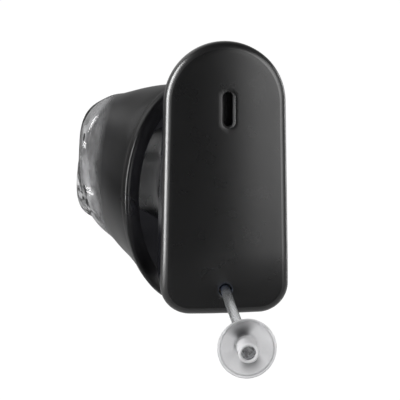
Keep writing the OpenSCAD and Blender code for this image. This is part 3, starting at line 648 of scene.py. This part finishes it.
def snug(z, out=0.0):
    """A ring with the snout's outline, let out, in step with the sleeve's own rings."""
    margin = SLEEVE_FIT + out
    w, h, r = SNOUT_W + 2 * margin, SNOUT_H + 2 * margin, SNOUT_R + margin
    share = SLEEVE_SIDES // 4
    ring = []
    for k in range(SLEEVE_SIDES):
        q = k // share
        a = -math.pi / 2 * (q + (k - q * share) / (share - 1))
        sx, sy = (1 if q in (0, 3) else -1), (-1 if q < 2 else 1)
        ring.append(on_canal(sx * (w / 2 - r) + r * math.cos(a),
                             sy * (h / 2 - r) + r * math.sin(a), z))
    return ring


def outside_inset(k):
    """How far the skirt steps in behind the rim, which fades out towards the nose."""
    if k < RIM_ROWS:
        return 0
    if k < RIM_ROWS + 2:
        return WAIST_INSET / 2 * (k - RIM_ROWS + 1)
    return WAIST_INSET * max(0, 1 - (k - RIM_ROWS - 1) / WAIST_ROWS)


rows = smooth_rows(SLEEVE_ROWS, SLEEVE_STEPS)
last = len(rows) - 1
inner_last = round(last * SLEEVE_INSIDE_SHARE)
seat_end = SNOUT_END + SEAT_GAP
rings = [sleeve_ring(rows[0], RIM_R * (1 - math.sin(a)), -RIM_R * math.cos(a))
         for a in (math.radians(15 * k) for k in range(7))]
rings += [sleeve_ring(rows[k], outside_inset(k)) for k in range(1, last + 1)]
rings += [sleeve_round(r, z) for r, z in (
    (NOSE_R + 0.1, SLEEVE_L - 0.1), (NOSE_R + 0.02, SLEEVE_L - 0.13), (NOSE_R, SLEEVE_L - 0.2),
    (NOSE_R, seat_end))]
rings += [snug(z, out) for z, out in (
    (seat_end, 0), (GROOVE_TO, 0), (GROOVE_TO, RING_SEAT_T), (GROOVE_FROM, RING_SEAT_T),
    (GROOVE_FROM, 0), (SEAT_FROM, 0))]
inside_from = len(rings) - 1
rings += [sleeve_ring(rows[k], SKIRT_T + (RIM_T - SKIRT_T) * (1 - k / inner_last) ** 3)
          for k in range(inner_last, 0, -1)]
rings += [sleeve_ring(rows[0], RIM_T), sleeve_ring(rows[0], RIM_T - RIM_R / 8, -RIM_R * 0.8),
          sleeve_ring(rows[0], RIM_T - RIM_R / 2, -RIM_R)]
bm = bmesh.new()
bridge(bm, rings, loop=True, skins=dict.fromkeys(range(inside_from, len(rings) - 3), 1))


def smoke_to_painted_clear(tree, shader, place):
    """Tints the skirt, paints it clear towards the nose's outer side as painted light, gives that
    share.
    """
    along = add_node(tree, "ShaderNodeVectorMath", operation="DOT_PRODUCT")
    along.inputs[1].default_value = SMOKE_WAY
    tree.links.new(place, along.inputs[0])
    clear = mapped(tree, along.outputs["Value"], 0, 1, SMOKE_FROM, SMOKE_TO, "SMOOTHSTEP")
    toned(tree, shader, clear, SMOKE_DARK, SMOKE_PAINTED_CLEAR)
    return clear


smoke, tree, shader = new_material("smoke_silicone", Transmission_Weight=1.0, IOR=1.41)
swirl, place = noise(tree, 420.0)
# clear is the share of painted light; it also makes the nose glossier and sets its dents.
clear = smoke_to_painted_clear(tree, shader, place)
haze = mapped(tree, swirl, 0.08, 0.16)
satin = mapped(tree, clear, 0.17, 0.0)
tree.links.new(maths(tree, "ADD", haze, satin), shader.inputs["Roughness"])
swirl_bump = bumped(tree, shader, swirl, 0.15, 0.00003)
dents, _ = noise(tree, 700.0, 0.6)
bumped(tree, shader, maths(tree, "MULTIPLY", dents, clear), 1.0, 0.0015, swirl_bump)
tint = add_node(tree, "ShaderNodeVolumeAbsorption", Density=60.0, Color=(*SMOKE_TINT, 1))
tree.links.new(tint.outputs[0], tree.nodes["Material Output"].inputs["Volume"])
smoke_inside, tree, shader = new_material(
    "smoke_silicone_inside", Transmission_Weight=1.0, IOR=1.41, Specular_IOR_Level=0.3)
matt, place = noise(tree, 9000.0)
smoke_to_painted_clear(tree, shader, place)
rough(tree, shader, matt, 0.42, 0.55)
bumped(tree, shader, matt, 0.2, 0.000008)
sleeve_piece = mesh_piece("sleeve_moulding", bm, "sleeve", "click_sleeve", 50, smoke, smoke_inside)
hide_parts("click_sleeve")

# Removal line: one strand of drawn clear nylon, crimped behind the faceplate.
# It leaves the hole pointing slightly down, and its end is flared inside the knob's hub. It is
# drawn in two pieces that meet outside the hole, and bends a little at the knee.
LINE_L = 8.2
NECK_L = 1.7
LINE_DROOP = math.radians(7.3)
LINE_BEND = math.radians(3)
LINE_INSIDE = 1.4
ROOT_OUT = 0.65
STUD_R = 0.34
STUD_T = 0.21
STUD_BACK = 0.12
KNOB_L = 0.7
HUB_REACH = 0.66
NYLON_PAINTED_SHADE, NYLON_CLEAR = (0.3, 0.36, 0.52), (0.84, 0.85, 0.86)
hole_at = on_plate(0, -LINE_DOWN, 0)
neck_way = Vector((0, -math.cos(LINE_DROOP), -math.sin(LINE_DROOP)))
line_way = Vector((0, -math.cos(LINE_DROOP - LINE_BEND), -math.sin(LINE_DROOP - LINE_BEND)))
knee = hole_at + neck_way * NECK_L * MM
line_end = knee + line_way * (LINE_L - NECK_L + KNOB_L + HUB_REACH - STUD_BACK) * MM


def tube_rings(path, r, sides=28):
    """Rings of one radius along a path that stays in the plane of x = 0."""
    rings = []
    for i, p in enumerate(path):
        way = (path[min(i + 1, len(path) - 1)] - path[max(i - 1, 0)]).normalized()
        side = Vector((1, 0, 0))
        up = side.cross(way)
        rings.append([p + r * (math.cos(a) * side + math.sin(a) * up)
                      for a in (2 * math.pi * k / sides for k in range(sides))])
    return rings


def strand_end(bm, ring, way):
    """Closes an end of the line with a small chamfer."""
    centre = sum((v.co for v in ring), Vector()) / len(ring)
    cap = [bm.verts.new(centre + (v.co - centre) * 0.86 + way * 0.03 * MM) for v in ring]
    for k in range(len(ring)):
        bm.faces.new((ring[k], ring[(k + 1) % len(ring)], cap[(k + 1) % len(ring)], cap[k]))
    bm.faces.new(cap)


inside_end = hole_at + Vector((0, LINE_INSIDE, 0)) * MM
bend = [Vector(p) for p in smooth_rows(
    [tuple(p) for p in (inside_end, hole_at, knee, knee + line_way * 2.2 * MM)], 12)][6:30]
path = [inside_end] + bend + [bend[-1] + (line_end - bend[-1]) * k / 12 for k in range(1, 13)]
path += [line_end - line_way * off * MM for off in (0.24, 0.2, 0.02)] + [line_end]
path = sorted(path, key=lambda p: -p.y)
rings = tube_rings(path, LINE_D / 2 * MM)
for i, p in enumerate(path):
    if (p - line_end).length < STUD_T * MM:
        rings[i] = [p + (q - p) * STUD_R * 2 / LINE_D for q in rings[i]]
join = min(range(len(path)), key=lambda i: abs((path[i] - hole_at).length - ROOT_OUT * MM)
           + (0 if path[i].y < hole_at.y else 1))
root_bm = bmesh.new()
made = bridge(root_bm, rings[:join + 1])
strand_end(root_bm, made[0], (path[0] - path[1]).normalized())
strand_bm = bmesh.new()
made = bridge(strand_bm, rings[join:])
strand_end(strand_bm, made[-1], (path[-1] - path[-2]).normalized())

nylon, tree, shader = new_material("clear_nylon", Transmission_Weight=0.93, IOR=1.53)
place = add_node(tree, "ShaderNodeTexCoord").outputs["Object"]
parts = add_node(tree, "ShaderNodeSeparateXYZ")
tree.links.new(place, parts.inputs[0])
# Painted shade and a painted bluish reflection: the nylon is darker and bluer where it leaves the
# hole.
out = mapped(tree, parts.outputs["Y"], 0, 1, hole_at.y + 0.05 * MM, hole_at.y - 0.7 * MM,
             "SMOOTHSTEP")
toned(tree, shader, out, NYLON_PAINTED_SHADE, NYLON_CLEAR)
drawn = add_node(tree, "ShaderNodeMapping", Scale=(1, 0.06, 1))
tree.links.new(place, drawn.inputs["Vector"])
streak = add_node(tree, "ShaderNodeTexNoise", Scale=9000.0, Detail=2.0)
tree.links.new(drawn.outputs["Vector"], streak.inputs["Vector"])
rough(tree, shader, streak.outputs["Fac"], 0.12, 0.26)
bumped(tree, shader, streak.outputs["Fac"], 0.1, 0.000008)

root_piece = mesh_piece("nylon_root", root_bm, "line_base", "pull_line_neck", 50, nylon)
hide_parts("pull_line_root", "pull_line_neck")
strand_piece = mesh_piece("nylon_strand", strand_bm, "line_end", "pull_line", 50, nylon)
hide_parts("pull_line")
root_piece.parent = None
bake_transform(root_piece)
strand_piece.parent = None
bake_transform(strand_piece)

# Knob: a small trumpet in frosted soft plastic, moulded on the end of the line.
# Its bell is thin and open to the front, with a more opaque hub tube in its middle that shows the
# line's flared end. Two wedges above and below the hub are painted darker, like a bow tie: painted
# shade standing in for the dark surroundings that the bell's cone mirrors.
KNOB_D = 2.83
KNOB_WALL = 0.16
KNOB_SIDES = 96
BELL_STEPS = 14
BELL_CURVE = 1.333
LIP_R = 0.08
LIP_LEAN = math.tan(math.radians(7))
HUB_D = 0.92
HUB_TIP_R = 0.5
BOW_TIE_LEAN = 0.3
FROST_PALE, FROST_PAINTED_SHADE = (0.74, 0.74, 0.75), (0.09, 0.09, 0.095)
HUB_GREY, HUB_PALE = (0.6, 0.6, 0.61), (0.72, 0.72, 0.73)
knob_base = knee + line_way * (LINE_L - NECK_L) * MM
knob_side = Vector((1, 0, 0))
knob_up = knob_side.cross(line_way)
hub_r = HUB_D / 2
bore_r = LINE_D / 2 + 0.02
root_r, lip_r = hub_r + 0.05, KNOB_D / 2 - KNOB_WALL / 2
hub_end = KNOB_L + HUB_REACH
profile = [(bore_r, -0.33), (bore_r + 0.02, -0.35), (hub_r - 0.06, -0.35), (hub_r - 0.015, -0.33),
           (hub_r, -0.28), (hub_r, -0.08), (hub_r + 0.02, -0.03), (hub_r + 0.06, 0.0)]
bell = [(root_r + (lip_r - root_r) * k / BELL_STEPS,
         (KNOB_L - LIP_R) * (k / BELL_STEPS) ** BELL_CURVE) for k in range(1, BELL_STEPS + 1)]
profile += bell
profile += [(lip_r + LIP_R * math.cos(a), KNOB_L - 0.04 + LIP_R * math.sin(a))
            for a in (math.radians(d) for d in range(-30, 181, 30))]
profile += [(r + 0.02, z + KNOB_WALL) for r, z in reversed(bell[1:-1])]
profile += [(root_r + 0.05, KNOB_WALL + 0.03), (hub_r + 0.04, KNOB_WALL + 0.05)]
hub_from = len(profile)
profile += [(hub_r, KNOB_WALL + 0.12), (HUB_TIP_R, hub_end - 0.06),
            (HUB_TIP_R - 0.02, hub_end - 0.02), (HUB_TIP_R - 0.06, hub_end),
            (STUD_R + 0.05, hub_end), (STUD_R + 0.01, hub_end - 0.04),
            (STUD_R + 0.01, hub_end - 0.34), (bore_r, hub_end - 0.38)]


def knob_point(r, z, a):
    """A point of the knob. Its lip leans, as the soft bell does, and its hub doesn't."""
    lean = LIP_LEAN * max(0, (r - root_r) / (lip_r - root_r)) * r * math.sin(a)
    return knob_base + (r * math.cos(a) * knob_side + r * math.sin(a) * knob_up
                        + (z + lean) * line_way) * MM


rings = [[knob_point(r, z, 2 * math.pi * k / KNOB_SIDES) for k in range(KNOB_SIDES)]
         for r, z in profile]
bm = bmesh.new()
bridge(bm, rings, loop=True, skins=dict.fromkeys(range(hub_from - 1, len(rings)), 1))

frost, tree, shader = new_material(
    "frosted_moulding", Transmission_Weight=0.78, IOR=1.46, Subsurface_Weight=0.2,
    Subsurface_Radius=(1, 1, 1), Subsurface_Scale=0.0004)
etch, place = noise(tree, 12000.0)
from_hub = add_node(tree, "ShaderNodeVectorMath", operation="SUBTRACT")
from_hub.inputs[1].default_value = tuple(knob_base + line_way * 0.2 * MM)
tree.links.new(place, from_hub.inputs[0])
how_far = add_node(tree, "ShaderNodeVectorMath", operation="LENGTH")
tree.links.new(from_hub.outputs["Vector"], how_far.inputs[0])
way_out = add_node(tree, "ShaderNodeVectorMath", operation="NORMALIZE")
tree.links.new(from_hub.outputs["Vector"], way_out.inputs[0])
# Painted shade: the bell's colour darkens in two wedges above and below the hub, near its root.
upright = add_node(tree, "ShaderNodeVectorMath", operation="DOT_PRODUCT")
upright.inputs[1].default_value = tuple((knob_up + BOW_TIE_LEAN * knob_side).normalized())
tree.links.new(way_out.outputs["Vector"], upright.inputs[0])
painted_shade_bow_tie = maths(tree, "ABSOLUTE", upright.outputs["Value"])
narrow = mapped(tree, painted_shade_bow_tie, 0, 1, 0.72, 1.0, "SMOOTHSTEP")
inner = mapped(tree, how_far.outputs["Value"], 0, 1, 1.8 * MM, 0.6 * MM, "SMOOTHSTEP")
toned(tree, shader, maths(tree, "MULTIPLY", narrow, inner), FROST_PALE, FROST_PAINTED_SHADE)
rough(tree, shader, etch, 0.33, 0.43)
bumped(tree, shader, etch, 0.12, 0.000008)
hub_frost, tree, shader = new_material(
    "frosted_hub", Transmission_Weight=0.25, IOR=1.46, Subsurface_Weight=0.3,
    Subsurface_Radius=(1, 1, 1), Subsurface_Scale=0.0002)
etch, _ = noise(tree, 9000.0)
toned(tree, shader, etch, HUB_GREY, HUB_PALE)
rough(tree, shader, etch, 0.3, 0.42)
bumped(tree, shader, etch, 0.15, 0.000008)
knob_piece = mesh_piece("trumpet_knob", bm, "line_end", "pull_knob", 50, frost, hub_frost)
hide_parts("pull_knob")

# Slot screen: a fine woven screen glued behind the slot, which keeps dust out of the microphone.
# It is black polyester thread in a plain weave, so it reads as a dark floor with a faint glint.
THREAD_PITCH = 0.00009
THREAD_BLACK, THREAD_GLINT = (0.006, 0.006, 0.007), (0.05, 0.05, 0.055)


def finish_node(material, *names):
    """Puts a material on CAD nodes that stay."""
    for name in names:
        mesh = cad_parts[name].data
        mesh.materials.clear()
        mesh.materials.append(material)


screen_cloth, tree, shader = new_material("woven_screen", Roughness=0.5)
place = add_node(tree, "ShaderNodeTexCoord").outputs["Object"]
parts = add_node(tree, "ShaderNodeSeparateXYZ")
tree.links.new(place, parts.inputs[0])
waves = 2 * math.pi / THREAD_PITCH
threads = [maths(tree, "SINE", maths(tree, "MULTIPLY", parts.outputs[axis], waves))
           for axis in ("X", "Z")]
weave = maths(tree, "MULTIPLY", *threads)
toned(tree, shader, weave, THREAD_BLACK, THREAD_GLINT)
bumped(tree, shader, weave, 0.6, 0.00002)
finish_node(screen_cloth, "mic_screen")

# Wax guard: a white moulded plastic plug with a flange, pushed into the sound outlet.
# Its surface is satin from the tool, and it is thrown away when it clogs.


def grained(name, tones, spread, scale, depth, metallic=0.0, coat=0.0, stretch=(1, 1, 1)):
    """A material in two close tones with a fine grain that also drives its roughness and bump."""
    material, tree, shader = new_material(name, Metallic=metallic, Coat_Weight=coat)
    place = add_node(tree, "ShaderNodeTexCoord").outputs["Object"]
    placed = add_node(tree, "ShaderNodeMapping", Scale=stretch)
    tree.links.new(place, placed.inputs["Vector"])
    grain = add_node(tree, "ShaderNodeTexNoise", Scale=scale, Detail=3.0)
    tree.links.new(placed.outputs["Vector"], grain.inputs["Vector"])
    toned(tree, shader, grain.outputs["Fac"], *tones)
    rough(tree, shader, grain.outputs["Fac"], *spread)
    bumped(tree, shader, grain.outputs["Fac"], 0.3, depth)
    return material


finish_node(grained("guard_white", ((0.62, 0.62, 0.6), (0.7, 0.7, 0.68)), (0.3, 0.42),
                    9000, 0.000006), "wax_guard")

# Wax guard mesh: a disc of fine steel mesh, held across the inner end of the guard's bore.
# It lets sound out and keeps wax from the receiver.
finish_node(grained("guard_steel", ((0.5, 0.5, 0.5), (0.62, 0.62, 0.62)), (0.25, 0.4),
                    30000, 0.000006, metallic=1.0), "wax_guard_mesh")

# Wax guard seal: a small soft rubber ring in a groove round the guard's barrel.
# It seals the barrel in the snout, and keeps wax out of the joint.
finish_node(grained("guard_rubber", ((0.03, 0.03, 0.032), (0.045, 0.045, 0.048)), (0.5, 0.65),
                    14000, 0.000008), "wax_guard_seal")

# Click ring: a closed ring in harder resin, moulded into the sleeve's collar.
# It gives a little as it snaps into the snout's groove, where it holds the sleeve.
finish_node(grained("ring_resin", ((0.1, 0.1, 0.11), (0.14, 0.14, 0.15)), (0.25, 0.35),
                    9000, 0.000005), "sleeve_click_ring")

# Rubber mounts inside the housing: the bead between faceplate and shell, the boot between slot
# and microphone, and the boot and pad that hold the receiver. All are soft black silicone. They
# seal the plate, and keep the receiver's shake from the microphone.
finish_node(grained("soft_black_rubber", ((0.02, 0.02, 0.021), (0.032, 0.032, 0.034)), (0.55, 0.7),
                    9000, 0.00001), "plate_seal", "mic_boot", "receiver_boot", "receiver_bumper")

# Metal cans: the microphone, the receiver with its spout, and the pin cell.
# Each is drawn from thin bright steel, with fine upright lines.
finish_node(grained("bright_steel", ((0.56, 0.56, 0.57), (0.66, 0.66, 0.67)), (0.18, 0.3),
                    6000, 0.000004, metallic=1.0, stretch=(1, 1, 0.1)),
            "microphone", "receiver_can", "receiver_spout", "battery_cell")

# Cell tabs: two strips of nickel, spot-welded to the ends of the cell.
# They carry its current to the board.
finish_node(grained("nickel_strip", ((0.58, 0.55, 0.5), (0.68, 0.65, 0.6)), (0.28, 0.4),
                    12000, 0.000004, metallic=1.0), "battery_tabs")

# Charging coil: a flat coil of enamelled copper wire behind the faceplate.
# It is wound flat, bonded with heat, and lies against the ferrite sheet.
finish_node(grained("enamelled_copper", ((0.55, 0.2, 0.08), (0.68, 0.28, 0.12)), (0.2, 0.35),
                    16000, 0.00002, metallic=1.0, coat=0.4), "charging_coil")

# Ferrite sheet: a thin sheet of dark grey sintered ferrite behind the coil.
# It keeps the coil's field off the cell and the board.
finish_node(grained("ferrite_film", ((0.045, 0.045, 0.05), (0.07, 0.07, 0.075)), (0.45, 0.6),
                    16000, 0.000008), "ferrite_sheet")

# Chassis: a small frame moulded in black nylon.
# It cradles the cell and carries the board beside it.
finish_node(grained("frame_nylon", ((0.03, 0.03, 0.03), (0.045, 0.045, 0.045)), (0.45, 0.6),
                    12000, 0.00001), "chassis")

# Circuit board: a thin rigid board under green solder mask.
# It stands beside the cell, with its parts on the side away from it.
finish_node(grained("solder_mask", ((0.01, 0.07, 0.03), (0.015, 0.1, 0.045)), (0.3, 0.42),
                    8000, 0.000008, coat=0.3), "circuit_board")

# Chips: the sound processor and the power chip, in black epoxy packages.
# Both are soldered flat to the board.
finish_node(grained("chip_epoxy", ((0.02, 0.02, 0.02), (0.035, 0.035, 0.035)), (0.5, 0.62),
                    22000, 0.000006), "signal_chip", "power_chip")

# Capacitors: four small blocks of tan ceramic, soldered to the board.
# They sit in a row at its lower end, below the chips.
finish_node(grained("capacitor_ceramic", ((0.3, 0.2, 0.12), (0.38, 0.27, 0.17)), (0.35, 0.5),
                    20000, 0.000005), "board_capacitors")

# Receiver leads: two fine litz wires in red enamel.
# They run from the board to the back of the receiver, which can still move in its boot.
finish_node(grained("lead_enamel", ((0.32, 0.03, 0.02), (0.42, 0.05, 0.03)), (0.3, 0.42),
                    22000, 0.000006), "receiver_leads")

# Line ferrule: a short tube of brass, crimped on the line behind the faceplate. Its colour is
# painted dark: painted shade for the hole that it shows through.
# It is wider than the hole, so the line can't be pulled out.
finish_node(grained("crimped_brass", ((0.16, 0.12, 0.07), (0.24, 0.18, 0.1)), (0.3, 0.42),
                    14000, 0.000005, metallic=1.0), "line_ferrule")
